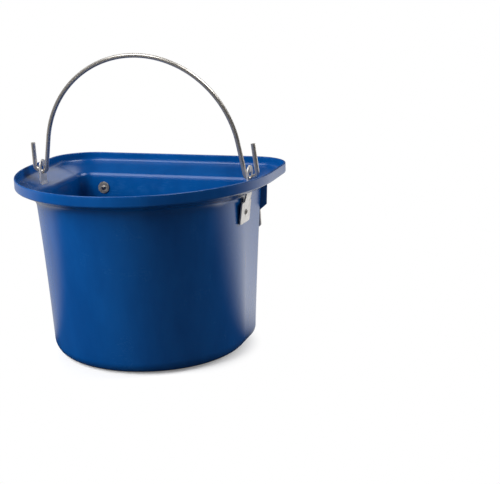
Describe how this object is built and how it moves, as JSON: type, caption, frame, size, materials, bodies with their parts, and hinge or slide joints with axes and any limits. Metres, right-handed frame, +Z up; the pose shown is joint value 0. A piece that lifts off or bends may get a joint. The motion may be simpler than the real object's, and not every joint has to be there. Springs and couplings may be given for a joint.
{
  "type": "portable feed trough",
  "caption": "D-shaped feed trough with a turned-up rim, a swinging wire bail, riveted ear plates and flat-bar hooks on its flat back that hang it on a gate or rail.",
  "frame": {"origin": "on the floor under the tub, on its left-right centre line and level with the widest place of the rim", "axes": "+Z up, the round front faces -Y, the flat back with its hooks faces +Y, and +X is to the right seen from the front"},
  "size_m": [0.37, 0.3758, 0.425],
  "materials": {
    "tub": "gloss",
    "back_strip": "gloss",
    "ear_plate": "bright",
    "hook": "brushed",
    "bail": "satin",
    "rivet": "satin",
    "washer": "satin"
  },
  "bodies": {
    "trough": {"tub": "tub", "ear_plate_left": "ear_plate", "ear_plate_right": "ear_plate", "ear_rivet_left": "rivet", "ear_rivet_right": "rivet", "ear_washer_left": "washer", "ear_washer_right": "washer", "back_strip_left": "back_strip", "back_strip_right": "back_strip", "hook_left": "hook", "hook_right": "hook", "hook_rivet_left": "rivet", "hook_rivet_right": "rivet", "hook_washer_left": "washer", "hook_washer_right": "washer", "strip_rivet_left": "rivet", "strip_rivet_right": "rivet", "strip_washer_left": "washer", "strip_washer_right": "washer"},
    "bail": {"bail": "bail"}
  },
  "joints": [
    {"name": "bail_swing", "type": "hinge", "parent": "trough", "child": "bail", "pos_m": [0, -0.0256, 0.2533], "axis": [1, 0, 0], "range_deg": [-90.5, 88]}
  ]
}
